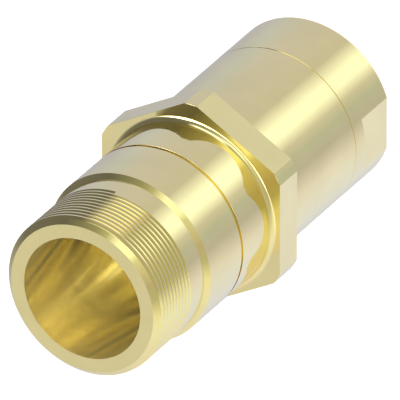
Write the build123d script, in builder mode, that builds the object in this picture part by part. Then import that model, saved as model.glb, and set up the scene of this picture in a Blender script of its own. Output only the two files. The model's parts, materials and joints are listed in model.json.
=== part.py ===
"""Brass screw-type quick coupling half with a sprung self-sealing valve.

Millimetres. +Z points towards the mating end, and the rear face stands on Z = 0.
X runs across the two wrench flats and Y through two corners of the hexagon.
"""

import os

from build123d import *

# Outside of the coupling
barrel_radius = 15.58
crest_radius = 14.78
front_chamfer = 1.15
sleeve_head_length = 25.85
tube_length = 14.8
front_groove_width = 0.55
front_groove_depth = 0.6
body_length = 37.9
hex_across_flats = 34.4
hex_corner_radius = 19.22
hex_height = 22.8
hex_thickness = 5.7
hex_fillet = 0.95
adapter_head_length = 11.7
wrench_across_flats = 29.6
wrench_flat_length = 8.6
parting_chamfer = 0.15

# Bores and the rear pipe port
probe_bore_radius = 11.15
front_socket_radius = 13.3
web_height = 22.3
web_thickness = 1.5
web_radius = 11.6
chamber_radius = 12.0
guide_seat_height = 9.3
rear_socket_radius = 13.1
socket_chamfer = 0.4
port_minor_radius = 9.32
port_major_radius = 10.48
port_depth = 11.0
neck_radius = 8.0
neck_length = 2.0
flare_radius = 10.8

# Seals
static_ring_section = 1.2
static_groove_width = 1.5
probe_ring_section = 1.55
probe_ring_squeeze = 0.2
backup_ring_width = 1.1
probe_groove_spare = 0.45
carrier_flange = 1.2
carrier_clearance = 0.35

# Valve seat and valve
seat_thickness = 4.2
throat_radius = 8.0
throat_chamfer = 0.8
seat_cone_height = 2.0
poppet_rim = 0.1
poppet_thickness = 2.2
poppet_boss_height = 1.5
poppet_boss_wall = 2.1
seal_inner_radius = 6.4
seal_thickness = 1.0
seal_depth = 0.3
clamp_thickness = 1.4
clamp_chamfer = 0.4
nose_radius = 3.6
nose_length = 4.6
nose_dome_height = 1.3
nose_across_flats = 6.0
nose_flat_length = 2.2
stem_radius = 2.5
stem_tail_radius = 2.0
stem_tail_inset = 1.6
stem_end_chamfer = 0.4
collar_radius = 3.4
collar_thickness = 1.0

# Guide, spring and clip
guide_thickness = 2.5
guide_rim_wall = 2.55
guide_hub_radius = 4.6
guide_hub_length = 4.0
guide_leg_width = 3.0
guide_leg_count = 3
guide_leg_fillet = 0.8
bush_wall = 0.75
bush_flange_radius = 4.2
bush_flange_thickness = 0.6
cup_sheet = 0.6
cup_rim_height = 1.8
cup_hole_radius = 3.7
spring_wire = 1.1
spring_mean_radius = 6.4
spring_length = 12.0
spring_active_turns = 3.5
spring_end_turns = 1.0
spring_coil_gap = 0.05
spring_end_grind = 0.25
clip_thickness = 0.6
clip_groove_depth = 0.4
clip_ring_width = 1.5
clip_mouth = 2.6
clip_gap = 1.0
stem_end_length = 1.0

# Clearances
thread_fit = 0.03
ring_fit = 0.05
seat_gap = 0.06
stem_fit = 0.05
spring_fit = 0.4
throat_fit = 0.4
assembly_fit = 0.1

# Heights of the outside, from the rear face
body_rear = adapter_head_length
body_front = body_rear + body_length
sleeve_shoulder = body_front + front_groove_width
front_face = sleeve_shoulder + sleeve_head_length
hex_rear = body_rear + hex_height
hex_front = hex_rear + hex_thickness
hex_apothem = hex_across_flats / 2

# The clamped stack: web of the body, valve seat, seal carrier, end of the sleeve
web_rear = body_rear + web_height
web_front = web_rear + web_thickness
seat_front = web_front + seat_thickness
carrier_length = carrier_flange + backup_ring_width + probe_ring_section + probe_groove_spare
carrier_front = seat_front + carrier_length
stack_radius = front_socket_radius - ring_fit

# The valve, closed on its seat
cone_front = web_front + seat_cone_height
seal_rear = web_front + seal_depth
seal_front = seal_rear + seal_thickness
clamp_front = seal_front + clamp_thickness
nose_tip = clamp_front + nose_length
poppet_rear = seal_rear - poppet_thickness
poppet_radius = throat_radius + seat_cone_height - poppet_rim
collar_rear = poppet_rear - collar_thickness
stem_tip = nose_tip - stem_tail_inset

# The guide, with its seat in the body
guide_front = body_rear + guide_seat_height
guide_rear = guide_front - guide_thickness
hub_rear = guide_front - guide_hub_length
bush_rear = hub_rear - bush_flange_thickness
bush_radius = stem_radius + stem_fit + bush_wall
spring_rear = poppet_rear - spring_length
clip_front = bush_rear - clip_gap
clip_rear = clip_front - clip_thickness
stem_rear = clip_rear - stem_end_length


def valve_cone_radius(height):
    """Radius of the valve's sealing cone, which stands off the seat by the seat gap."""
    return throat_radius + cone_front - height - seat_gap


# Front sleeve: probe bore, crest of the fine thread, step, groove ahead of the body, spigot
with BuildPart() as front_sleeve:
    with BuildSketch(Plane.XZ):
        with BuildLine():
            ring_step = front_socket_radius - static_ring_section
            spigot_radius = front_socket_radius - thread_fit
            groove_floor_radius = barrel_radius - front_groove_depth
            Polyline(
                (probe_bore_radius, carrier_front),
                (ring_step, carrier_front),
                (ring_step, carrier_front + static_groove_width),
                (spigot_radius, carrier_front + static_groove_width),
                (spigot_radius, body_front + assembly_fit),
                (groove_floor_radius, body_front + assembly_fit),
                (groove_floor_radius, sleeve_shoulder),
                (barrel_radius, sleeve_shoulder),
                (barrel_radius, front_face - tube_length - (barrel_radius - crest_radius)),
                (crest_radius, front_face - tube_length),
                (crest_radius, front_face - front_chamfer),
                (crest_radius - front_chamfer, front_face),
                (probe_bore_radius, front_face),
                close=True,
            )
        make_face()
    revolve(axis=Axis.Z)

# Body: turned outside with the hexagon, and the stack and valve chambers inside
with BuildPart() as hex_body:
    with BuildSketch(Plane.XZ):
        with BuildLine():
            Polyline(
                (barrel_radius, hex_rear - hex_fillet),
                (barrel_radius, body_rear + parting_chamfer),
                (barrel_radius - parting_chamfer, body_rear),
                (rear_socket_radius + socket_chamfer, body_rear),
                (rear_socket_radius, body_rear + socket_chamfer),
                (rear_socket_radius, guide_front),
                (chamber_radius, guide_front),
                (chamber_radius, web_rear),
                (web_radius, web_rear),
                (web_radius, web_front),
                (front_socket_radius, web_front),
                (front_socket_radius, body_front - socket_chamfer),
                (front_socket_radius + socket_chamfer, body_front),
                (barrel_radius, body_front),
                (barrel_radius, hex_front + hex_fillet),
            )
            RadiusArc(
                (barrel_radius, hex_front + hex_fillet), (barrel_radius + hex_fillet, hex_front), -hex_fillet
            )
            Polyline(
                (barrel_radius + hex_fillet, hex_front),
                (hex_corner_radius, hex_front),
                (hex_corner_radius, hex_rear),
                (barrel_radius + hex_fillet, hex_rear),
            )
            RadiusArc(
                (barrel_radius + hex_fillet, hex_rear), (barrel_radius, hex_rear - hex_fillet), -hex_fillet
            )
        make_face()
    revolve(axis=Axis.Z)
    with BuildSketch(Plane.XY.offset(hex_rear)):
        Circle(2 * hex_corner_radius)
        RegularPolygon(hex_apothem, 6, major_radius=False, rotation=30, mode=Mode.SUBTRACT)
    extrude(amount=hex_thickness, mode=Mode.SUBTRACT)

# Rear adapter: wrench flats, pipe port, neck, and the spigot that clamps the guide
with BuildPart() as rear_adapter:
    with BuildSketch(Plane.XZ):
        with BuildLine():
            adapter_step = rear_socket_radius - static_ring_section
            spigot_radius = rear_socket_radius - thread_fit
            port_chamfer = port_major_radius - port_minor_radius
            flare_front = port_depth + neck_length + flare_radius - neck_radius
            Polyline(
                (port_major_radius, 0),
                (barrel_radius, 0),
                (barrel_radius, adapter_head_length - parting_chamfer),
                (barrel_radius - parting_chamfer, adapter_head_length),
                (spigot_radius, adapter_head_length),
                (spigot_radius, guide_rear - static_groove_width),
                (adapter_step, guide_rear - static_groove_width),
                (adapter_step, guide_rear),
                (flare_radius, guide_rear),
                (flare_radius, flare_front),
                (neck_radius, port_depth + neck_length),
                (neck_radius, port_depth),
                (port_minor_radius, port_depth),
                (port_minor_radius, port_chamfer),
                close=True,
            )
        make_face()
    revolve(axis=Axis.Z)
    with BuildSketch(Plane.XY):
        Circle(2 * barrel_radius)
        Rectangle(wrench_across_flats, 5 * barrel_radius, mode=Mode.SUBTRACT)
    extrude(amount=wrench_flat_length, mode=Mode.SUBTRACT)

# Seal carrier: an angle ring whose groove holds the probe ring and its backup
carrier_radius = probe_bore_radius + carrier_clearance
probe_groove_radius = probe_bore_radius + probe_ring_section - probe_ring_squeeze
with BuildPart() as seal_carrier:
    with BuildSketch(Plane.XZ):
        with BuildLine():
            Polyline(
                (stack_radius, seat_front),
                (stack_radius, carrier_front),
                (carrier_radius, carrier_front),
                (carrier_radius, carrier_front - carrier_flange),
                (probe_groove_radius, carrier_front - carrier_flange),
                (probe_groove_radius, seat_front),
                close=True,
            )
        make_face()
    revolve(axis=Axis.Z)

with BuildPart() as backup_ring:
    with BuildSketch(Plane.XZ):
        with BuildLine():
            backup_front = carrier_front - carrier_flange
            Polyline(
                (carrier_radius, backup_front - backup_ring_width),
                (probe_groove_radius, backup_front - backup_ring_width),
                (probe_groove_radius, backup_front),
                (carrier_radius, backup_front),
                close=True,
            )
        make_face()
    revolve(axis=Axis.Z)


def sealing_ring(groove_radius, section, height):
    """Round-section ring that lies on the inside wall of the given radius."""
    with BuildPart() as ring:
        with BuildSketch(Plane.XZ):
            with Locations((groove_radius - section / 2, height)):
                Circle(section / 2)
        revolve(axis=Axis.Z)
    return ring


probe_ring_height = backup_front - backup_ring_width - probe_ring_section / 2
probe_o_ring = sealing_ring(probe_groove_radius, probe_ring_section, probe_ring_height)
sleeve_o_ring = sealing_ring(
    front_socket_radius, static_ring_section, carrier_front + static_groove_width / 2
)
seat_o_ring = sealing_ring(
    front_socket_radius, static_ring_section, web_front + seat_thickness / 2
)
adapter_o_ring = sealing_ring(
    rear_socket_radius, static_ring_section, guide_rear - static_groove_width / 2
)

# Valve seat: throat, 45 degree sealing cone on the rear side, ring groove outside
with BuildPart() as valve_seat:
    with BuildSketch(Plane.XZ):
        with BuildLine():
            seat_groove_radius = front_socket_radius - static_ring_section
            seat_middle = web_front + seat_thickness / 2
            Polyline(
                (throat_radius + seat_cone_height, web_front),
                (stack_radius, web_front),
                (stack_radius, seat_middle - static_groove_width / 2),
                (seat_groove_radius, seat_middle - static_groove_width / 2),
                (seat_groove_radius, seat_middle + static_groove_width / 2),
                (stack_radius, seat_middle + static_groove_width / 2),
                (stack_radius, seat_front),
                (throat_radius + throat_chamfer, seat_front),
                (throat_radius, seat_front - throat_chamfer),
                (throat_radius, cone_front),
                close=True,
            )
        make_face()
    revolve(axis=Axis.Z)

# Poppet: disc with a step for the seal and a rear boss that centres the spring
with BuildPart() as poppet:
    with BuildSketch(Plane.XZ):
        with BuildLine():
            boss_inner = collar_radius + assembly_fit
            boss_rear = poppet_rear - poppet_boss_height
            Polyline(
                (stem_tail_radius + assembly_fit, poppet_rear),
                (boss_inner, poppet_rear),
                (boss_inner, boss_rear),
                (boss_inner + poppet_boss_wall, boss_rear),
                (boss_inner + poppet_boss_wall, poppet_rear),
                (poppet_radius, poppet_rear),
                (poppet_radius, seal_rear - (poppet_radius - valve_cone_radius(seal_rear))),
                (valve_cone_radius(seal_rear), seal_rear),
                (seal_inner_radius, seal_rear),
                (seal_inner_radius, seal_front),
                (stem_tail_radius + assembly_fit, seal_front),
                close=True,
            )
        make_face()
    revolve(axis=Axis.Z)

with BuildPart() as poppet_seal:
    with BuildSketch(Plane.XZ):
        with BuildLine():
            Polyline(
                (seal_inner_radius, seal_rear),
                (valve_cone_radius(seal_rear), seal_rear),
                (valve_cone_radius(seal_front), seal_front),
                (seal_inner_radius, seal_front),
                close=True,
            )
        make_face()
    revolve(axis=Axis.Z)

with BuildPart() as seal_clamp:
    with BuildSketch(Plane.XZ):
        with BuildLine():
            clamp_radius = throat_radius - throat_fit
            Polyline(
                (stem_tail_radius + assembly_fit, seal_front),
                (clamp_radius, seal_front),
                (clamp_radius, clamp_front - clamp_chamfer),
                (clamp_radius - clamp_chamfer, clamp_front),
                (stem_tail_radius + assembly_fit, clamp_front),
                close=True,
            )
        make_face()
    revolve(axis=Axis.Z)

# Nose nut: domed front that the mating half pushes on, with two small flats
with BuildPart() as nose_nut:
    with BuildSketch(Plane.XZ):
        with BuildLine():
            dome_root = nose_tip - nose_dome_height
            Polyline(
                (0, nose_tip),
                (0, stem_tip + assembly_fit),
                (stem_tail_radius + thread_fit, stem_tip + assembly_fit),
                (stem_tail_radius + thread_fit, clamp_front),
                (nose_radius, clamp_front),
                (nose_radius, dome_root),
            )
            dome_radius = (nose_radius**2 + nose_dome_height**2) / (2 * nose_dome_height)
            RadiusArc((nose_radius, dome_root), (0, nose_tip), -dome_radius)
        make_face()
    revolve(axis=Axis.Z)
    with BuildSketch(Plane.XY.offset(clamp_front)):
        Circle(2 * nose_radius)
        Rectangle(5 * nose_radius, nose_across_flats, mode=Mode.SUBTRACT)
    extrude(amount=nose_flat_length, mode=Mode.SUBTRACT)

# Valve stem: threaded tail, collar behind the poppet, guided rod with a clip groove
with BuildPart() as valve_stem:
    with BuildSketch(Plane.XZ):
        with BuildLine():
            Polyline(
                (0, stem_rear),
                (stem_radius - stem_end_chamfer, stem_rear),
                (stem_radius, stem_rear + stem_end_chamfer),
                (stem_radius, clip_rear),
                (stem_radius - clip_groove_depth, clip_rear),
                (stem_radius - clip_groove_depth, clip_front),
                (stem_radius, clip_front),
                (stem_radius, collar_rear),
                (collar_radius, collar_rear),
                (collar_radius, poppet_rear),
                (stem_tail_radius, poppet_rear),
                (stem_tail_radius, stem_tip - stem_end_chamfer),
                (stem_tail_radius - stem_end_chamfer, stem_tip),
                (0, stem_tip),
                close=True,
            )
        make_face()
    revolve(axis=Axis.Z)

with BuildPart() as stem_clip:
    with BuildSketch(Plane.XY.offset(clip_rear)):
        Circle(stem_radius - clip_groove_depth + clip_ring_width)
        Circle(stem_radius - clip_groove_depth, mode=Mode.SUBTRACT)
        with Locations((0, stem_radius)):
            Rectangle(clip_mouth, 2 * stem_radius, mode=Mode.SUBTRACT)
    extrude(amount=clip_thickness)

# Guide spider: rim held between body and adapter, three legs, long hub
with BuildPart() as guide_spider:
    guide_rim_radius = rear_socket_radius - ring_fit
    window_radius = guide_rim_radius - guide_rim_wall
    with BuildSketch(Plane.XY.offset(guide_rear)):
        Circle(guide_rim_radius)
        with BuildSketch(mode=Mode.SUBTRACT) as windows:
            Circle(window_radius)
            Circle(guide_hub_radius, mode=Mode.SUBTRACT)
            leg_length = (window_radius + guide_hub_radius) / 2
            with PolarLocations(leg_length, guide_leg_count, start_angle=90):
                Rectangle(window_radius, guide_leg_width, mode=Mode.SUBTRACT)
            fillet(windows.vertices(), guide_leg_fillet)
    extrude(amount=guide_thickness)
    with BuildSketch(Plane.XY.offset(hub_rear)):
        Circle(guide_hub_radius)
    extrude(amount=guide_hub_length)
    with BuildSketch(Plane.XY.offset(hub_rear)):
        Circle(bush_radius)
    extrude(amount=guide_hub_length, mode=Mode.SUBTRACT)

with BuildPart() as guide_bush:
    with BuildSketch(Plane.XY.offset(bush_rear)):
        Circle(bush_flange_radius)
    extrude(amount=bush_flange_thickness)
    with BuildSketch(Plane.XY.offset(hub_rear)):
        Circle(bush_radius)
    extrude(amount=guide_hub_length)
    with BuildSketch(Plane.XY.offset(bush_rear)):
        Circle(stem_radius + stem_fit)
    extrude(amount=guide_front - bush_rear, mode=Mode.SUBTRACT)

# Spring cup: pressed washer with a turned-up rim around the spring's last coil
with BuildPart() as spring_cup:
    with BuildSketch(Plane.XZ):
        with BuildLine():
            rim_inner = spring_mean_radius + spring_wire / 2 + spring_fit
            Polyline(
                (cup_hole_radius, guide_front),
                (rim_inner + cup_sheet, guide_front),
                (rim_inner + cup_sheet, guide_front + cup_rim_height),
                (rim_inner, guide_front + cup_rim_height),
                (rim_inner, spring_rear),
                (cup_hole_radius, spring_rear),
                close=True,
            )
        make_face()
    revolve(axis=Axis.Z)


def spring_run(first_height, pitch, turns, start_angle):
    """One stretch of the coil, its round section kept in the plane through the axis."""
    start = Plane((0, 0, first_height), x_dir=Vector(1, 0, 0).rotate(Axis.Z, start_angle))
    wire_centre = start.from_local_coords((spring_mean_radius, 0, 0))
    with BuildPart() as run:
        with BuildLine(start) as coil:
            Helix(pitch, pitch * turns, spring_mean_radius)
        with BuildSketch(Plane(wire_centre, x_dir=start.x_dir, z_dir=start.y_dir)):
            Circle(spring_wire / 2)
        sweep(path=coil.line, is_frenet=True)
    return run.part


# Valve spring: closed end coils ground flat, open coils between them
closed_pitch = spring_wire + spring_coil_gap
wire_start = spring_rear + spring_wire / 2 - spring_end_grind
wire_rise = spring_length - spring_wire + 2 * spring_end_grind
active_rise = wire_rise - 2 * closed_pitch * spring_end_turns
rear_coil = spring_run(wire_start, closed_pitch, spring_end_turns, 0)
open_coils = spring_run(
    wire_start + closed_pitch * spring_end_turns,
    active_rise / spring_active_turns,
    spring_active_turns,
    360 * spring_end_turns,
)
front_coil = spring_run(
    wire_start + closed_pitch * spring_end_turns + active_rise,
    closed_pitch,
    spring_end_turns,
    360 * (spring_end_turns + spring_active_turns),
)
with BuildPart() as valve_spring:
    add(rear_coil)
    add(open_coils)
    add(front_coil)
    split(bisect_by=Plane.XY.offset(spring_rear), keep=Keep.TOP)
    split(bisect_by=Plane.XY.offset(poppet_rear), keep=Keep.BOTTOM)

pieces = {
    "front_sleeve": front_sleeve,
    "hex_body": hex_body,
    "rear_adapter": rear_adapter,
    "seal_carrier": seal_carrier,
    "backup_ring": backup_ring,
    "probe_o_ring": probe_o_ring,
    "sleeve_o_ring": sleeve_o_ring,
    "seat_o_ring": seat_o_ring,
    "adapter_o_ring": adapter_o_ring,
    "valve_seat": valve_seat,
    "poppet": poppet,
    "poppet_seal": poppet_seal,
    "seal_clamp": seal_clamp,
    "nose_nut": nose_nut,
    "valve_stem": valve_stem,
    "stem_clip": stem_clip,
    "guide_spider": guide_spider,
    "guide_bush": guide_bush,
    "spring_cup": spring_cup,
    "valve_spring": valve_spring,
}
os.makedirs("parts", exist_ok=True)
for piece_name, piece in pieces.items():
    piece.part.label = piece_name
    export_step(piece.part, f"parts/{piece_name}.step")
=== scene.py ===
"""Brass quick coupling half: turned pieces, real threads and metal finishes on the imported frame.

All sizes are in metres. +Z points towards the mating end, and the rear face stands on the floor.
A profile is a list of (radius, height) points. Compass angles go round Z from +Y towards +X.
"""

import json
import math

import bpy
from bpy.props import FloatProperty, FloatVectorProperty, IntProperty, PointerProperty
from mathutils import Matrix, Vector


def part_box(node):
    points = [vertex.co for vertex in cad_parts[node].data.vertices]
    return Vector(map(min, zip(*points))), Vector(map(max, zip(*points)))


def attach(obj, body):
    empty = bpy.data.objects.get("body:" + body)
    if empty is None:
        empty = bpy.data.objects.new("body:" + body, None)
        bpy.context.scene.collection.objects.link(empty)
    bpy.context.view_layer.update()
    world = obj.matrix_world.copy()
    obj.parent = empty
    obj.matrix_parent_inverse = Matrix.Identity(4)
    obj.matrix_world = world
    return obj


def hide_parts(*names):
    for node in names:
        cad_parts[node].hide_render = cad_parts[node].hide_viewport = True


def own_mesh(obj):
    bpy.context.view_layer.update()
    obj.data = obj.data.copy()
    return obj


bl_info = {
    "name": "Quick coupling",
    "version": (1, 0, 0),
    "blender": (4, 5, 0),
    "location": "View3D > Sidebar > Coupling",
    "description": "Models and finishes a brass hydraulic quick coupling half",
    "category": "Object",
}

MM = 0.001
WHITE = (1.0, 1.0, 1.0, 1.0)

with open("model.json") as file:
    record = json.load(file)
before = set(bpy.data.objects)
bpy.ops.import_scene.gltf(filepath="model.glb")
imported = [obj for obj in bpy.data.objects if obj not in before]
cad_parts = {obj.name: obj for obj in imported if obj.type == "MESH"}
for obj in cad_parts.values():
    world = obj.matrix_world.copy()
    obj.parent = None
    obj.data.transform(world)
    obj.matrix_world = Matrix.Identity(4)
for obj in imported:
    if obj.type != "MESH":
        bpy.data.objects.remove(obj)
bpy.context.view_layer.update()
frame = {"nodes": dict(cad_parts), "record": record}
sleeve_rear, front_face = (corner.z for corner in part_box("front_sleeve"))
body_rear, body_front = (corner.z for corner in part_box("hex_body"))


# Sizes and colours that a user would change


def length(name, description, millimetres):
    return FloatProperty(
        name=name, description=description, default=millimetres * MM, unit="LENGTH", min=0.0, precision=5
    )


def angle(name, description, degrees):
    return FloatProperty(
        name=name, description=description, default=math.radians(degrees), subtype="ANGLE", min=0.0
    )


def share(name, description, value):
    return FloatProperty(
        name=name, description=description, default=value, subtype="FACTOR", min=0.0, max=1.0
    )


def colour(name, description, value):
    return FloatVectorProperty(
        name=name, description=description, default=value, subtype="COLOR", size=3, min=0.0, max=1.0
    )


class SleeveSizes(bpy.types.PropertyGroup):
    crest_radius: length("Crest radius", "Radius over the crests of the front thread", 14.78)
    barrel_radius: length("Barrel radius", "Radius of the plain outside behind the thread", 15.58)
    bore_radius: length("Bore radius", "Radius of the probe bore", 11.15)
    spigot_radius: length("Spigot radius", "Radius of the spigot that screws into the body", 13.27)
    ring_step: length("Ring step", "Radius of the step that carries the sealing ring", 12.1)
    ring_width: length("Ring width", "Length of the ring step", 1.5)
    tube_length: length("Tube length", "Length of the thinner front tube", 14.8)
    chamfer: length("Front chamfer", "Chamfer at the mating end", 1.15)
    shoulder: length("Shoulder height", "Height of the sleeve's rear shoulder", 50.2)
    groove_floor: length("Groove floor", "Radius of the floor of the groove ahead of the body", 14.98)
    body_gap: length("Body gap", "Gap between the sleeve and the front of the body", 0.1)
    pitch: length("Thread pitch", "Pitch of the front thread", 1.0)
    thread_depth: length("Thread depth", "Depth of the front thread's V groove", 0.6)
    thread_flank: angle("Thread flank", "Slope of the front thread's flanks", 30)
    thread_run: length("Thread run", "Depth behind the face at which the groove ends", 10.93)


class BodySizes(bpy.types.PropertyGroup):
    barrel_radius: length("Barrel radius", "Radius of the plain outside", 15.58)
    across_flats: length("Across flats", "Width of the hexagon", 34.4)
    corner_radius: length("Corner radius", "Radius to which the corners are turned", 19.21)
    hex_height: length("Hexagon height", "Height of the hexagon's rear plane", 34.5)
    hex_thickness: length("Hexagon thickness", "Thickness of the hexagon", 5.7)
    fillet: length("Hexagon fillet", "Fillet between the hexagon and the barrel", 0.95)
    socket_radius: length("Front socket", "Radius of the socket for the sleeve", 13.3)
    rear_socket: length("Rear socket", "Radius of the socket for the rear adapter", 13.1)
    socket_chamfer: length("Socket chamfer", "Chamfer at both sockets", 0.4)
    chamber_radius: length("Chamber radius", "Radius of the valve chamber", 12.0)
    web_radius: length("Web radius", "Radius of the hole in the web", 11.6)
    web_height: length("Web height", "Height of the web's rear plane", 34.0)
    web_thickness: length("Web thickness", "Thickness of the web", 1.5)
    guide_height: length("Guide height", "Height of the guide's seat", 21.0)
    parting_chamfer: length("Parting chamfer", "Chamfer at the parting line", 0.15)


class AdapterSizes(bpy.types.PropertyGroup):
    radius: length("Radius", "Radius of the outside", 15.58)
    across_flats: length("Across flats", "Width across the two wrench flats", 29.6)
    flat_length: length("Flat length", "Length of the wrench flats", 8.6)
    head_length: length("Head length", "Length outside the body", 11.7)
    parting_depth: length("Parting depth", "Depth of the edge at the parting line", 0.15)
    parting_width: length("Parting width", "Width of the edge at the parting line", 0.04)
    spigot_radius: length("Spigot radius", "Radius of the spigot in the body", 13.07)
    ring_step: length("Ring step", "Radius of the step that carries the sealing ring", 11.9)
    ring_width: length("Ring width", "Length of the ring step", 1.5)
    spigot_front: length("Spigot height", "Height of the spigot's front plane", 18.5)
    flare_radius: length("Flare radius", "Radius of the flow chamber", 10.8)
    neck_radius: length("Neck radius", "Radius of the neck", 8.0)
    neck_length: length("Neck length", "Length of the neck", 2.0)
    port_minor: length("Port minor radius", "Radius at the crests of the pipe thread", 9.32)
    port_major: length("Port major radius", "Radius at the roots of the pipe thread", 10.48)
    port_depth: length("Port depth", "Depth of the pipe port", 11.0)
    port_pitch: length("Port pitch", "Pitch of the pipe thread", 1.814)
    port_flank: angle("Port flank", "Slope of the pipe thread's flanks", 27.5)
    port_run: length("Port run", "Rise of the pipe thread's groove from start to end", 9.8)


class SpringSizes(bpy.types.PropertyGroup):
    rear: length("Rear height", "Height of the fixed end of the spring", 21.6)
    keep: share("Keep", "Share of the length left when the valve is open", 7 / 12)


class Finishes(bpy.types.PropertyGroup):
    brass: colour("Brass", "Outside pieces", (0.90, 0.79, 0.40))
    # Painted light: the bore's brass is painted lighter than the outside brass, standing in for light
    # that reaches the bore
    bore_brass_painted_lighter: colour("Bore brass", "Wall of the probe bore", (0.97, 0.88, 0.46))
    valve_brass: colour("Valve brass", "Valve pieces inside", (0.95, 0.86, 0.54))
    bronze: colour("Bronze", "Bearing bush", (0.55, 0.36, 0.19))
    steel: colour("Stainless steel", "Stem, clip and cup", (0.60, 0.59, 0.57))
    spring_steel: colour("Spring steel", "Valve spring", (0.34, 0.34, 0.35))
    rubber: colour("Rubber", "Sealing rings", (0.018, 0.018, 0.019))
    ptfe: colour("White ring", "Backup ring", (0.80, 0.79, 0.75))
    brass_roughness: share("Brass roughness", "Roughness of the outside pieces", 0.07)
    bore_roughness: share("Bore roughness", "Roughness of the probe bore", 0.16)
    valve_roughness: share("Valve roughness", "Roughness of the valve pieces", 0.12)
    bronze_roughness: share("Bronze roughness", "Roughness of the bearing bush", 0.32)
    steel_roughness: share("Steel roughness", "Roughness of the stainless steel", 0.2)
    steps: IntProperty(name="Steps", description="Faces round a turned piece", default=192, min=12)
    edge_break: length("Edge break", "Width of the broken edges", 0.02)


SETTINGS = {
    "coupling_sleeve": SleeveSizes,
    "coupling_body": BodySizes,
    "coupling_adapter": AdapterSizes,
    "coupling_spring": SpringSizes,
    "coupling_finishes": Finishes,
}


# Modelling steps

PROFILE_MERGE = 0.0002 * MM
TRIANGLE_MERGE = 0.001 * MM
MILLING_THRESHOLD = 0.0001 * MM
FILLET_STEPS = 10
HELIX_STEPS_PER_TURN = 96
CUTTER_OVERLAP = 0.15 * MM
BORE_MARGIN = 0.15 * MM
FLAT_CUTTER_DEPTH = 4 * MM
SPARE_THREAD_TURNS = 1.2


def deselect_all():
    if bpy.context.mode != "OBJECT":
        bpy.ops.object.mode_set(mode="OBJECT")
    bpy.ops.object.select_all(action="DESELECT")


def make_active(piece):
    deselect_all()
    piece.select_set(True)
    bpy.context.view_layer.objects.active = piece


def edit(piece):
    make_active(piece)
    bpy.ops.object.mode_set(mode="EDIT")
    bpy.ops.mesh.select_mode(type="VERT")


def leave_edit():
    bpy.ops.object.mode_set(mode="OBJECT")


def apply_place(piece):
    make_active(piece)
    bpy.ops.object.transform_apply(location=True, rotation=True, scale=True)


def apply_modifier(piece, kind, **values):
    """Adds a modifier with its settings to the active piece, and applies it."""
    step = piece.modifiers.new(kind.lower(), kind)
    for name, value in values.items():
        setattr(step, name, value)
    bpy.ops.object.modifier_apply(modifier=step.name)


def turn_profile(name, profile, steps):
    """A turned piece: a ring extruded from point to point of a closed profile."""
    radius, height = profile[0]
    deselect_all()
    bpy.ops.mesh.primitive_circle_add(vertices=steps, radius=radius, location=(0, 0, height))
    piece = bpy.context.object
    piece.name = piece.data.name = name
    apply_place(piece)
    edit(piece)
    bpy.ops.mesh.select_all(action="SELECT")
    for next_radius, next_height in profile[1:] + profile[:1]:
        bpy.ops.mesh.extrude_region_move(
            TRANSFORM_OT_translate={"value": (0, 0, next_height - height)}
        )
        growth = next_radius / radius
        bpy.ops.transform.resize(value=(growth, growth, 1), center_override=(0, 0, 0))
        radius, height = next_radius, next_height
    bpy.ops.mesh.select_all(action="SELECT")
    bpy.ops.mesh.remove_doubles(threshold=PROFILE_MERGE)
    bpy.ops.mesh.normals_make_consistent(inside=False)
    leave_edit()
    return piece


def fillet_points(radius, height, size, start, end):
    """Points on an arc round (radius, height), from start to end degrees, ends included."""
    step = (end - start) / FILLET_STEPS
    turns = [math.radians(start + step * number) for number in range(FILLET_STEPS + 1)]
    return [(radius + size * math.cos(turn), height + size * math.sin(turn)) for turn in turns]


def cut(piece, cutter):
    """Takes the cutter's volume away from the piece, and removes the cutter."""
    make_active(piece)
    apply_modifier(piece, "BOOLEAN", operation="DIFFERENCE", solver="EXACT", object=cutter)
    bpy.data.objects.remove(cutter)


def thread_cutter(name, root, crest, flank, start, pitch, turns):
    """A right-hand helical cutter with a V section, closed at both ends, rising from its start.

    The V's point runs at the root radius, and its open side stands proud of the crest radius.
    """
    proud = crest + math.copysign(CUTTER_OVERLAP, crest - root)
    half_width = abs(proud - root) * math.tan(flank)
    deselect_all()
    bpy.ops.mesh.primitive_circle_add(vertices=3, radius=half_width, fill_type="NGON")
    cutter = bpy.context.object
    cutter.name = name
    section = ((root, 0.0), (proud, half_width), (proud, -half_width))
    for corner, (radius, rise) in zip(cutter.data.vertices, section):
        corner.co = (0, radius, start + rise)
    steps = round(HELIX_STEPS_PER_TURN * turns)
    apply_modifier(
        cutter,
        "SCREW",
        axis="Z",
        iterations=1,
        angle=math.radians(360) * turns,
        screw_offset=pitch * turns,
        steps=steps,
        render_steps=steps,
    )
    edit(cutter)
    bpy.ops.mesh.select_all(action="DESELECT")
    bpy.ops.mesh.select_non_manifold()
    bpy.ops.mesh.fill_holes(sides=4)
    bpy.ops.mesh.select_all(action="SELECT")
    bpy.ops.mesh.normals_make_consistent(inside=False)
    leave_edit()
    return cutter


def break_edges(piece, width):
    make_active(piece)
    apply_modifier(
        piece,
        "BEVEL",
        limit_method="ANGLE",
        angle_limit=math.radians(20),
        width=width,
        segments=2,
        use_clamp_overlap=True,
    )


def smooth(piece, degrees=15):
    """Smooth shading between sharp edges, with large flat and turned faces keeping their own normals."""
    make_active(piece)
    bpy.ops.object.shade_smooth_by_angle(angle=math.radians(degrees))
    apply_modifier(piece, "WEIGHTED_NORMAL", keep_sharp=True, weight=60)


def merged_copy(node, name):
    """A copy of a CAD node's mesh with its triangles joined up."""
    piece = bpy.data.objects.new(name, frame["nodes"][node].data.copy())
    bpy.context.scene.collection.objects.link(piece)
    piece.data.name = name
    edit(piece)
    bpy.ops.mesh.select_all(action="SELECT")
    bpy.ops.mesh.remove_doubles(threshold=TRIANGLE_MERGE)
    leave_edit()
    return piece


def finish_bore(piece, radius):
    """Gives the upright faces of a bore their own finish, found by their distance from the axis."""
    piece.data.materials.append(finish("bored_brass"))
    for face in piece.data.polygons:
        distance = math.hypot(face.center.x, face.center.y)
        if distance < radius + BORE_MARGIN and abs(face.normal.z) < 0.5:
            face.material_index = 1


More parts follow.
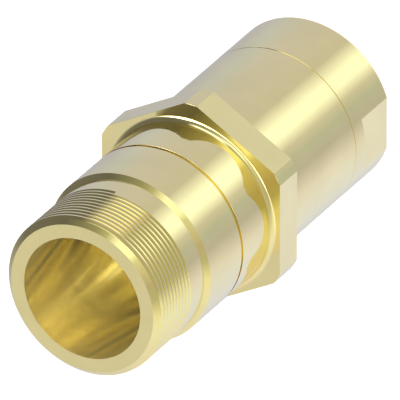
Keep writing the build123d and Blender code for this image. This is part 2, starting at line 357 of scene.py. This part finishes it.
def settle(piece, body, slot, *nodes):
    """Gives a finished piece its material and its place in the frame."""
    piece.data.materials.clear()
    piece.data.materials.append(finish(slot))
    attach(piece, body)
    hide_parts(*nodes)


# Materials


class Nodes:
    """Short calls for one node tree. A value is a number or colour, or an output to link."""

    def __init__(self, tree):
        self.tree = tree

    def add(self, kind, **values):
        node = self.tree.nodes.new(kind)
        for name, value in values.items():
            setattr(node, name, value)
        return node

    def link(self, source, target):
        self.tree.links.new(source, target)

    def give(self, socket, value):
        if isinstance(value, (int, float, tuple)):
            socket.default_value = value
        else:
            self.link(value, socket)

    def math(self, operation, *inputs):
        node = self.add("ShaderNodeMath", operation=operation)
        for socket, value in zip(node.inputs, inputs):
            self.give(socket, value)
        return node.outputs[0]

    def blend(self, amount, first, second):
        node = self.add("ShaderNodeMix", data_type="RGBA")
        for number, value in ((0, amount), (6, first), (7, second)):
            self.give(node.inputs[number], value)
        return node.outputs[2]

    def spread(self, value, low, high, from_low=0.3, from_high=0.7):
        """Stretches a value, such as a noise's usual range, to low and high."""
        node = self.add("ShaderNodeMapRange")
        for socket, number in zip(node.inputs, (value, from_low, from_high, low, high)):
            self.give(socket, number)
        return node.outputs[0]

    def split(self, vector):
        node = self.add("ShaderNodeSeparateXYZ")
        self.link(vector, node.inputs[0])
        return node.outputs


class Finish(Nodes):
    """One procedural material on Object coordinates, with the inputs of its shader."""

    def __init__(self, name, metallic):
        self.material = bpy.data.materials.new(name)
        self.material.use_nodes = True
        super().__init__(self.material.node_tree)
        self.inputs = self.tree.nodes["Principled BSDF"].inputs
        self.inputs["Metallic"].default_value = metallic
        self.place = self.add("ShaderNodeTexCoord").outputs["Object"]

    def noise(self, scale, detail, vector=None, dimensions="3D"):
        """Noise over the piece's own coordinates, or over a vector made from them."""
        node = self.add("ShaderNodeTexNoise", noise_dimensions=dimensions)
        node.inputs["Scale"].default_value = scale
        node.inputs["Detail"].default_value = detail
        self.link(vector or self.place, node.inputs["Vector"])
        return node.outputs["Fac"]

    def lathe_marks(self, scale, detail):
        """Noise over radius and height, which is the same all along one turning mark."""
        x, y, height = self.split(self.place)
        squares = self.math("ADD", self.math("POWER", x, 2.0), self.math("POWER", y, 2.0))
        rings = self.add("ShaderNodeCombineXYZ")
        self.link(self.math("SQRT", squares), rings.inputs[0])
        self.link(height, rings.inputs[1])
        return self.noise(scale, detail, rings.outputs[0], "2D")

    def shade(self, base, pattern, darkest, lightest):
        """Varies the base colour between two shades of itself."""
        dark = tuple(channel * darkest for channel in base) + (1.0,)
        light = tuple(channel * lightest for channel in base) + (1.0,)
        self.link(self.blend(self.spread(pattern, 0.0, 1.0), dark, light), self.inputs["Base Color"])

    def roughen(self, pattern, smoothest, roughest):
        self.link(self.spread(pattern, smoothest, roughest), self.inputs["Roughness"])

    def emboss(self, pattern, depth):
        bump = self.add("ShaderNodeBump")
        bump.inputs["Distance"].default_value = depth
        self.link(pattern, bump.inputs["Height"])
        self.link(bump.outputs[0], self.inputs["Normal"])


def turned_metal(name, base, roughness):
    """Lathe-turned metal: fine rings, a little uneven gloss, and faint changes of colour."""
    gloss_change = 0.02
    metal = Finish(name, metallic=1.0)
    marks = metal.lathe_marks(scale=5000.0, detail=3.0)
    metal.shade(base, metal.noise(scale=140.0, detail=3.0), darkest=0.97, lightest=1.03)
    grain = metal.spread(metal.noise(scale=2200.0, detail=2.0), -gloss_change, gloss_change)
    rings = metal.spread(marks, roughness - gloss_change, roughness + gloss_change)
    metal.link(metal.math("ADD", grain, rings), metal.inputs["Roughness"])
    metal.emboss(marks, depth=0.0004 * MM)
    return metal.material


def bored_metal(name, base, roughness):
    """Bored metal: its fine rings spread a reflection along the bore and hardly round it."""
    gloss_change = 0.03
    metal = Finish(name, metallic=0.8)
    marks = metal.lathe_marks(scale=5000.0, detail=3.0)
    metal.shade(base, marks, darkest=0.97, lightest=1.03)
    metal.roughen(marks, roughness - gloss_change, roughness + gloss_change)
    metal.inputs["Anisotropic"].default_value = 1.0
    along = metal.add("ShaderNodeCombineXYZ")
    along.inputs[2].default_value = 1.0
    metal.link(along.outputs[0], metal.inputs["Tangent"])
    return metal.material


def drawn_wire(name, base):
    """Cold-drawn spring wire: darker, with short streaks."""
    metal = Finish(name, metallic=1.0)
    streaks = metal.noise(scale=1500.0, detail=4.0)
    metal.shade(base, streaks, darkest=0.85, lightest=1.15)
    metal.roughen(streaks, smoothest=0.24, roughest=0.36)
    return metal.material


def moulded_rubber(name, base):
    """Matt moulded rubber with a fine grain."""
    rubber = Finish(name, metallic=0.0)
    grain = rubber.noise(scale=4000.0, detail=3.0)
    rubber.shade(base, grain, darkest=0.8, lightest=1.3)
    rubber.roughen(grain, smoothest=0.45, roughest=0.6)
    rubber.emboss(grain, depth=0.004 * MM)
    return rubber.material


def skived_ptfe(name, base):
    """Waxy white ring, cut from bar."""
    ptfe = Finish(name, metallic=0.0)
    marks = ptfe.lathe_marks(scale=3000.0, detail=2.0)
    ptfe.shade(base, marks, darkest=0.96, lightest=1.04)
    ptfe.roughen(marks, smoothest=0.35, roughest=0.5)
    return ptfe.material


def finish(slot):
    """The material of one slot, made the first time it is asked for."""
    looks = bpy.context.scene.coupling_finishes
    makers = {
        "turned_brass": (turned_metal, looks.brass, looks.brass_roughness),
        # The bore's finish takes the brass that is painted lighter, as painted light in the bore
        "bored_brass": (bored_metal, looks.bore_brass_painted_lighter, looks.bore_roughness),
        "valve_brass": (turned_metal, looks.valve_brass, looks.valve_roughness),
        "bearing_bronze": (turned_metal, looks.bronze, looks.bronze_roughness),
        "stainless_steel": (turned_metal, looks.steel, looks.steel_roughness),
        "spring_steel": (drawn_wire, looks.spring_steel),
        "black_rubber": (moulded_rubber, looks.rubber),
        "white_ptfe": (skived_ptfe, looks.ptfe),
    }
    if slot not in makers:
        raise RuntimeError(f"no finish is made for the slot {slot}")
    maker, *values = makers[slot]
    name = f"{slot}_finish"
    return bpy.data.materials.get(name) or maker(name, *values)


# Operators


class COUPLING_OT_front_sleeve(bpy.types.Operator):
    """Turn the front sleeve and cut its fine thread"""

    bl_idname = "coupling.front_sleeve"
    bl_label = "Front sleeve"

    def execute(self, context):
        sizes, looks = context.scene.coupling_sleeve, context.scene.coupling_finishes
        ring_front = sleeve_rear + sizes.ring_width
        groove_rear = body_front + sizes.body_gap
        step_height = front_face - sizes.tube_length
        profile = [
            (sizes.bore_radius, sleeve_rear),
            (sizes.ring_step, sleeve_rear),
            (sizes.ring_step, ring_front),
            (sizes.spigot_radius, ring_front),
            (sizes.spigot_radius, groove_rear),
            (sizes.groove_floor, groove_rear),
            (sizes.groove_floor, sizes.shoulder),
            (sizes.barrel_radius, sizes.shoulder),
            (sizes.barrel_radius, step_height - (sizes.barrel_radius - sizes.crest_radius)),
            (sizes.crest_radius, step_height),
            (sizes.crest_radius, front_face - sizes.chamfer),
            (sizes.crest_radius - sizes.chamfer, front_face),
            (sizes.bore_radius, front_face),
        ]
        sleeve = turn_profile("sleeve_turned", profile, looks.steps)
        cutter = thread_cutter(
            "front_thread_cutter",
            root=sizes.crest_radius - sizes.thread_depth,
            crest=sizes.crest_radius,
            flank=sizes.thread_flank,
            start=front_face - sizes.thread_run,
            pitch=sizes.pitch,
            turns=sizes.thread_run / sizes.pitch + SPARE_THREAD_TURNS,
        )
        cut(sleeve, cutter)
        smooth(sleeve)
        settle(sleeve, "housing", "turned_brass", "front_sleeve")
        finish_bore(sleeve, sizes.bore_radius)
        return {"FINISHED"}


class COUPLING_OT_hex_body(bpy.types.Operator):
    """Turn the body and mill its hexagon"""

    bl_idname = "coupling.hex_body"
    bl_label = "Hexagon body"

    def execute(self, context):
        sizes, looks = context.scene.coupling_body, context.scene.coupling_finishes
        barrel, fillet = sizes.barrel_radius, sizes.fillet
        hex_front = sizes.hex_height + sizes.hex_thickness
        web_front = sizes.web_height + sizes.web_thickness
        profile = [
            (barrel, body_rear + sizes.parting_chamfer),
            (barrel - sizes.parting_chamfer, body_rear),
            (sizes.rear_socket + sizes.socket_chamfer, body_rear),
            (sizes.rear_socket, body_rear + sizes.socket_chamfer),
            (sizes.rear_socket, sizes.guide_height),
            (sizes.chamber_radius, sizes.guide_height),
            (sizes.chamber_radius, sizes.web_height),
            (sizes.web_radius, sizes.web_height),
            (sizes.web_radius, web_front),
            (sizes.socket_radius, web_front),
            (sizes.socket_radius, body_front - sizes.socket_chamfer),
            (sizes.socket_radius + sizes.socket_chamfer, body_front),
            (barrel, body_front),
            *fillet_points(barrel + fillet, hex_front + fillet, fillet, 180, 270),
            (sizes.corner_radius, hex_front),
            (sizes.corner_radius, sizes.hex_height),
            *fillet_points(barrel + fillet, sizes.hex_height - fillet, fillet, 90, 180),
        ]
        body = turn_profile("body_turned", profile, looks.steps)
        edit(body)
        for side in range(6):
            compass = math.radians(60 * side + 90)
            outward = (math.sin(compass), math.cos(compass), 0)
            bpy.ops.mesh.select_all(action="SELECT")
            bpy.ops.mesh.bisect(
                plane_co=tuple(c * sizes.across_flats / 2 for c in outward),
                plane_no=outward,
                use_fill=True,
                clear_outer=True,
                threshold=MILLING_THRESHOLD,
            )
        leave_edit()
        break_edges(body, looks.edge_break)
        smooth(body)
        settle(body, "housing", "turned_brass", "hex_body")
        return {"FINISHED"}


class COUPLING_OT_rear_adapter(bpy.types.Operator):
    """Turn the rear adapter, mill its wrench flats and cut its pipe thread"""

    bl_idname = "coupling.rear_adapter"
    bl_label = "Rear adapter"

    def execute(self, context):
        sizes, looks = context.scene.coupling_adapter, context.scene.coupling_finishes
        thread_depth = sizes.port_major - sizes.port_minor
        neck_front = sizes.port_depth + sizes.neck_length
        ring_rear = sizes.spigot_front - sizes.ring_width
        profile = [
            (sizes.port_major, 0.0),
            (sizes.radius, 0.0),
            (sizes.radius, sizes.head_length - sizes.parting_width),
            (sizes.radius - sizes.parting_depth, sizes.head_length),
            (sizes.spigot_radius, sizes.head_length),
            (sizes.spigot_radius, ring_rear),
            (sizes.ring_step, ring_rear),
            (sizes.ring_step, sizes.spigot_front),
            (sizes.flare_radius, sizes.spigot_front),
            (sizes.flare_radius, neck_front + sizes.flare_radius - sizes.neck_radius),
            (sizes.neck_radius, neck_front),
            (sizes.neck_radius, sizes.port_depth),
            (sizes.port_minor, sizes.port_depth),
            (sizes.port_minor, thread_depth),
        ]
        adapter = turn_profile("adapter_turned", profile, looks.steps)
        for side in (1, -1):
            mill_flat(adapter, side, sizes)
        cutter = thread_cutter(
            "port_thread_cutter",
            root=sizes.port_major,
            crest=sizes.port_minor,
            flank=sizes.port_flank,
            start=-sizes.port_pitch / 2,
            pitch=sizes.port_pitch,
            turns=sizes.port_run / sizes.port_pitch,
        )
        cut(adapter, cutter)
        break_edges(adapter, looks.edge_break)
        smooth(adapter)
        settle(adapter, "housing", "turned_brass", "rear_adapter")
        return {"FINISHED"}


def mill_flat(adapter, side, sizes):
    """Cuts one wrench flat, on the +X side for 1 and on the -X side for -1."""
    depth = FLAT_CUTTER_DEPTH
    middle = sizes.across_flats / 2 + depth / 2
    deselect_all()
    bpy.ops.mesh.primitive_cube_add(
        size=1,
        location=(side * middle, 0, sizes.flat_length / 2 - depth / 2),
        scale=(depth, 3 * sizes.radius, sizes.flat_length + depth),
    )
    cutter = bpy.context.object
    apply_place(cutter)
    cut(adapter, cutter)


class COUPLING_OT_valve_spring(bpy.types.Operator):
    """Join up the spring and smooth it"""

    bl_idname = "coupling.valve_spring"
    bl_label = "Valve spring"

    def execute(self, context):
        spring = merged_copy("valve_spring", "spring_coil")
        smooth(spring, 40)
        settle(spring, "housing", "spring_steel", "valve_spring")
        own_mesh(spring)
        return {"FINISHED"}


class COUPLING_OT_inner_pieces(bpy.types.Operator):
    """Finish the valve, its seat, its guide and the seals"""

    bl_idname = "coupling.inner_pieces"
    bl_label = "Inner pieces"

    def execute(self, context):
        replaced = {"front_sleeve", "hex_body", "rear_adapter", "valve_spring"}
        slots = {part["node"]: part["material_slot"] for part in frame["record"]["subparts"]}
        for name, node in frame["nodes"].items():
            if name in replaced:
                continue
            if not node.data.polygons:
                raise RuntimeError(f"the node {name} has no faces")
            node.data.materials.clear()
            node.data.materials.append(finish(slots[name]))
        return {"FINISHED"}


class COUPLING_OT_stage(bpy.types.Operator):
    """Set the floor, the studio world, the lamp and the camera"""

    bl_idname = "coupling.stage"
    bl_label = "Stage"

    def execute(self, context):
        make_floor()
        make_world(context.scene)
        make_lamp()
        make_camera(context.scene)
        context.scene.view_settings.view_transform = "Standard"
        context.scene.cycles.max_bounces = 16
        context.scene.cycles.glossy_bounces = 12
        return {"FINISHED"}


def make_floor():
    """A floor that the camera sees as white, apart from the part's soft shadow."""
    diffuse_grey, camera_glow = 0.45, 0.75
    deselect_all()
    bpy.ops.mesh.primitive_plane_add(size=2.0, location=(0, 0, 0))
    floor = bpy.context.object
    floor.name = "floor"
    floor.visible_glossy = False
    material = bpy.data.materials.new("floor_white")
    material.use_nodes = True
    nodes = Nodes(material.node_tree)
    material.node_tree.nodes.clear()
    diffuse = nodes.add("ShaderNodeBsdfDiffuse")
    diffuse.inputs["Color"].default_value = (diffuse_grey, diffuse_grey, diffuse_grey, 1)
    glow = nodes.add("ShaderNodeEmission")
    glow.inputs["Color"].default_value = WHITE
    path = nodes.add("ShaderNodeLightPath")
    strength = nodes.math("MULTIPLY", path.outputs["Is Camera Ray"], camera_glow)
    nodes.link(strength, glow.inputs["Strength"])
    both = nodes.add("ShaderNodeAddShader")
    nodes.link(diffuse.outputs[0], both.inputs[0])
    nodes.link(glow.outputs[0], both.inputs[1])
    out = nodes.add("ShaderNodeOutputMaterial")
    nodes.link(both.outputs[0], out.inputs[0])
    floor.data.materials.append(material)


def studio_ramp(nodes, position, stops):
    """A ring of light and dark cards round the object, by compass degrees from -180 to 180."""
    node = nodes.add("ShaderNodeValToRGB")
    elements = node.color_ramp.elements
    elements.remove(elements[0])
    for number, (degrees, value) in enumerate(stops):
        place = (degrees + 180) / 360
        element = elements.new(place) if number else elements[0]
        element.position = place
        element.color = (*value, 1)
    nodes.link(position, node.inputs[0])
    return node.outputs[0]


def make_world(scene):
    """A studio of cards that the metal mirrors, while the camera sees plain white behind the part."""
    world = bpy.data.worlds.new("studio")
    scene.world = world
    world.use_nodes = True
    nodes = Nodes(world.node_tree)
    world.node_tree.nodes.clear()
    x, y, height = nodes.split(nodes.add("ShaderNodeTexCoord").outputs["Generated"])
    compass = nodes.math("ARCTAN2", x, y)
    position = nodes.math("MULTIPLY_ADD", compass, 1 / (2 * math.pi), 0.5)
    # Light from below, which the plain outside mirrors
    low = studio_ramp(
        nodes,
        position,
        [
            (-180, (0.80, 0.85, 1.05)),
            (-135, (0.60, 0.60, 0.60)),
            (-120, (0.50, 0.50, 0.60)),
            (-70, (0.60, 0.65, 0.85)),
            (-40, (0.65, 0.65, 0.80)),
            (15, (0.65, 0.65, 0.70)),
            (38, (1.25, 1.35, 1.40)),
            (50, (1.25, 1.35, 1.40)),
            (67, (0.70, 0.70, 0.75)),
            (80, (0.55, 0.60, 0.65)),
            (100, (0.55, 0.55, 0.65)),
            (128, (0.85, 0.85, 1.05)),
            (150, (0.85, 0.90, 1.15)),
            (180, (0.80, 0.85, 1.05)),
        ],
    )
    # Level light, which the fillets beside the hexagon mirror
    middle = studio_ramp(
        nodes,
        position,
        [
            (-180, (0.85, 0.85, 0.90)),
            (-135, (0.60, 0.60, 0.60)),
            (-95, (0.18, 0.18, 0.20)),
            (-28, (0.15, 0.15, 0.15)),
            (-18, (1.55, 1.60, 1.90)),
            (10, (1.55, 1.60, 1.90)),
            (22, (0.50, 0.50, 0.40)),
            (100, (0.60, 0.60, 0.50)),
            (130, (0.95, 0.95, 0.95)),
            (180, (0.85, 0.85, 0.90)),
        ],
    )
    # Light from above, which the chamfers and the flat front faces mirror
    high = studio_ramp(
        nodes,
        position,
        [
            (-180, (0.90, 0.85, 0.90)),
            (-135, (0.70, 0.70, 0.70)),
            (-95, (0.18, 0.18, 0.20)),
            (-50, (0.15, 0.15, 0.15)),
            (-15, (0.35, 0.35, 0.25)),
            (0, (0.55, 0.55, 0.40)),
            (18, (1.25, 1.30, 1.10)),
            (38, (1.30, 1.40, 1.10)),
            (50, (0.80, 0.80, 0.60)),
            (85, (0.55, 0.50, 0.40)),
            (103, (0.55, 0.55, 0.40)),
            (122, (0.95, 0.95, 0.75)),
            (145, (0.95, 1.00, 0.95)),
            (180, (0.90, 0.85, 0.90)),
        ],
    )
    # Steep light, which the thread mirrors, with the strong card that lights the bore
    top = studio_ramp(
        nodes,
        position,
        [
            (-180, (1.20, 1.20, 1.15)),
            (-140, (1.20, 1.20, 1.15)),
            (-130, (8.00, 8.00, 7.70)),
            (-68, (8.00, 8.00, 7.70)),
            (-55, (0.48, 0.47, 0.38)),
            (122, (0.48, 0.47, 0.36)),
            (145, (1.20, 1.20, 1.15)),
            (180, (1.20, 1.20, 1.15)),
        ],
    )
    ring_light = (3.00, 3.00, 2.90, 1.0)
    zenith = (0.85, 0.85, 0.80, 1.0)
    studio = low
    # Each zone starts to show at one height of the direction, from -1 to 1, and is full at the next
    for zone, start, full in (
        (middle, -0.62, -0.30),
        (high, 0.22, 0.42),
        (top, 0.800, 0.880),
        (ring_light, 0.958, 0.968),
        (zenith, 0.980, 0.988),
    ):
        studio = nodes.blend(nodes.spread(height, 0.0, 1.0, start, full), studio, zone)
    path = nodes.add("ShaderNodeLightPath")
    back = nodes.add("ShaderNodeBackground")
    nodes.link(nodes.blend(path.outputs["Is Camera Ray"], studio, WHITE), back.inputs[0])
    out = nodes.add("ShaderNodeOutputWorld")
    nodes.link(back.outputs[0], out.inputs[0])


def make_lamp():
    """A large soft lamp over the part, for the floor and the matt pieces."""
    target = Vector((0, 0, 0.03))
    deselect_all()
    bpy.ops.object.light_add(type="AREA", location=(0.25, 0.35, 0.75))
    lamp = bpy.context.object
    lamp.name = "soft_lamp"
    lamp.data.size = 0.6
    lamp.data.energy = 2.2
    lamp.visible_glossy = False
    lamp.rotation_euler = (lamp.location - target).to_track_quat("Z", "Y").to_euler()


def make_camera(scene):
    """A long lens, about 30 degrees round and 30 degrees up from the axis, with +Y upwards."""
    round_by, up_by, tilt = math.radians(30.17), math.radians(30.16), math.radians(-0.08)
    aim = Vector((0.44, -0.18, 37.87)) * MM
    distance, seen_width = 3000 * MM, 66.84 * MM
    level = Vector((math.cos(round_by), 0, -math.sin(round_by)))
    ahead = Vector((math.sin(round_by), 0, math.cos(round_by)))
    towards = ahead * math.cos(up_by) + Vector((0, math.sin(up_by), 0))
    rise = towards.cross(level)
    right = level * math.cos(tilt) + rise * math.sin(tilt)
    up = rise * math.cos(tilt) - level * math.sin(tilt)
    data = bpy.data.cameras.new("camera")
    data.sensor_width = 36
    data.lens = data.sensor_width * distance / seen_width
    data.clip_start = 0.1
    data.clip_end = 20
    camera = bpy.data.objects.new("camera", data)
    scene.collection.objects.link(camera)
    place = Matrix((right, up, towards)).transposed().to_4x4()
    place.translation = aim + towards * distance
    camera.matrix_world = place
    scene.camera = camera


class COUPLING_PT_panel(bpy.types.Panel):
    """Lists the steps of the coupling with their sizes"""

    bl_idname = "COUPLING_PT_panel"
    bl_label = "Quick coupling"
    bl_space_type = "VIEW_3D"
    bl_region_type = "UI"
    bl_category = "Coupling"

    def draw(self, context):
        for operator in OPERATORS:
            self.layout.operator(operator.bl_idname)
        for name, group in SETTINGS.items():
            box = self.layout.box()
            for field in group.__annotations__:
                box.prop(getattr(context.scene, name), field)


OPERATORS = (
    COUPLING_OT_front_sleeve,
    COUPLING_OT_hex_body,
    COUPLING_OT_rear_adapter,
    COUPLING_OT_valve_spring,
    COUPLING_OT_inner_pieces,
    COUPLING_OT_stage,
)


def register():
    for group in SETTINGS.values():
        bpy.utils.register_class(group)
    for name, group in SETTINGS.items():
        setattr(bpy.types.Scene, name, PointerProperty(type=group))
    for operator in OPERATORS:
        bpy.utils.register_class(operator)
    bpy.utils.register_class(COUPLING_PT_panel)


def unregister():
    bpy.utils.unregister_class(COUPLING_PT_panel)
    for operator in reversed(OPERATORS):
        bpy.utils.unregister_class(operator)
    for name in SETTINGS:
        delattr(bpy.types.Scene, name)
    for group in SETTINGS.values():
        bpy.utils.unregister_class(group)


def main():
    register()
    bpy.ops.coupling.front_sleeve()
    bpy.ops.coupling.hex_body()
    bpy.ops.coupling.rear_adapter()
    bpy.ops.coupling.valve_spring()
    bpy.ops.coupling.inner_pieces()
    bpy.ops.coupling.stage()
    deselect_all()


if __name__ == "__main__":
    main()
